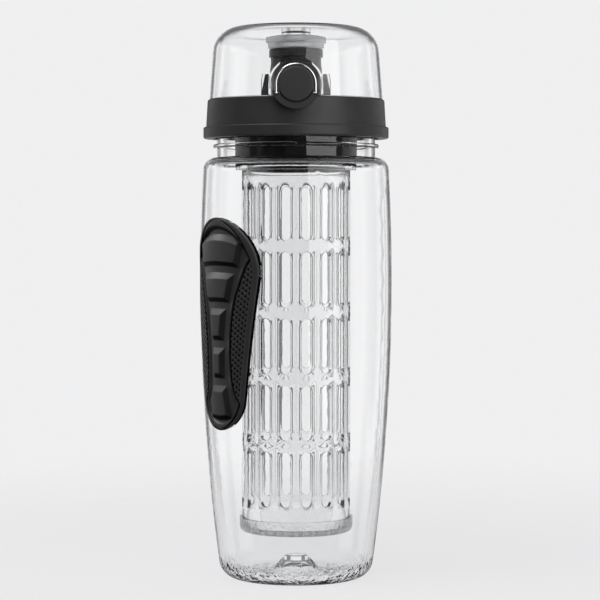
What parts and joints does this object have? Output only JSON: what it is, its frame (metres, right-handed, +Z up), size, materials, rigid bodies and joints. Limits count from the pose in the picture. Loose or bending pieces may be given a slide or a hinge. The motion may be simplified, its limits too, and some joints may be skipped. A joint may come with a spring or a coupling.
{
  "type": "fruit infuser water bottle",
  "caption": "Clear bulged drinking bottle with a moulded side grip, a screw lid under a clear flip cap with a push-button catch and wire lock, and a slotted infuser tube hung from the lid.",
  "frame": {"origin": "centre of the ring that the bottle stands on, on the surface it rests on", "axes": "+Z up along the bottle's axis, -Y to the front with the button, +X to the right seen from the front"},
  "size_m": [0.0922, 0.0924, 0.266],
  "materials": {
    "clear_plastic": "clear moulded plastic, polished",
    "clear_seal": "clear soft silicone",
    "black_grip": "satin soft-touch with dimpled side panels",
    "black_lid": "fine matt moulded plastic",
    "grey_spout": "smooth moulded plastic",
    "steel": "drawn steel",
    "bright_wire": "polished wire"
  },
  "bodies": {
    "bottle": {"bottle_body": "clear_plastic", "grip_pad": "black_grip"},
    "seal_ring": {"neck_gasket": "clear_seal"},
    "lid": {"lid_collar": "black_lid", "lid_deck": "black_lid", "drinking_spout": "grey_spout", "hinge_pin": "steel", "cap_spring": "steel", "button_spring": "steel"},
    "cap": {"flip_cap": "clear_plastic", "spout_seal": "clear_seal"},
    "button": {"release_button": "black_lid"},
    "bail": {"lock_bail": "bright_wire"},
    "infuser": {"infuser_basket": "clear_plastic", "infuser_base": "clear_plastic"}
  },
  "joints": [
    {"name": "lid_lift", "type": "slide", "parent": "bottle", "child": "seal_ring", "axis": [0, 0, 1], "range_m": [0, 0.21]},
    {"name": "lid_turn", "type": "hinge", "parent": "seal_ring", "child": "lid", "pos_m": [0, 0, 0.218], "axis": [0, 0, 1], "continuous": true},
    {"name": "cap_hinge", "type": "hinge", "parent": "lid", "child": "cap", "pos_m": [0, 0.04345, 0.2326], "axis": [-1, 0, 0], "range_deg": [0, 130], "deforming": ["cap_spring"]},
    {"name": "button_press", "type": "slide", "parent": "lid", "child": "button", "axis": [0, 1, 0], "range_m": [0, 0.002], "stiffness_N_per_m": 400, "deforming": ["button_spring"]},
    {"name": "bail_swing", "type": "hinge", "parent": "lid", "child": "bail", "pos_m": [0, -0.0446, 0.23], "axis": [1, 0, 0], "range_deg": [0, 100]},
    {"name": "infuser_turn", "type": "hinge", "parent": "lid", "child": "infuser", "pos_m": [0, 0, 0.204], "axis": [0, 0, 1], "range_deg": [0, 60]}
  ]
}
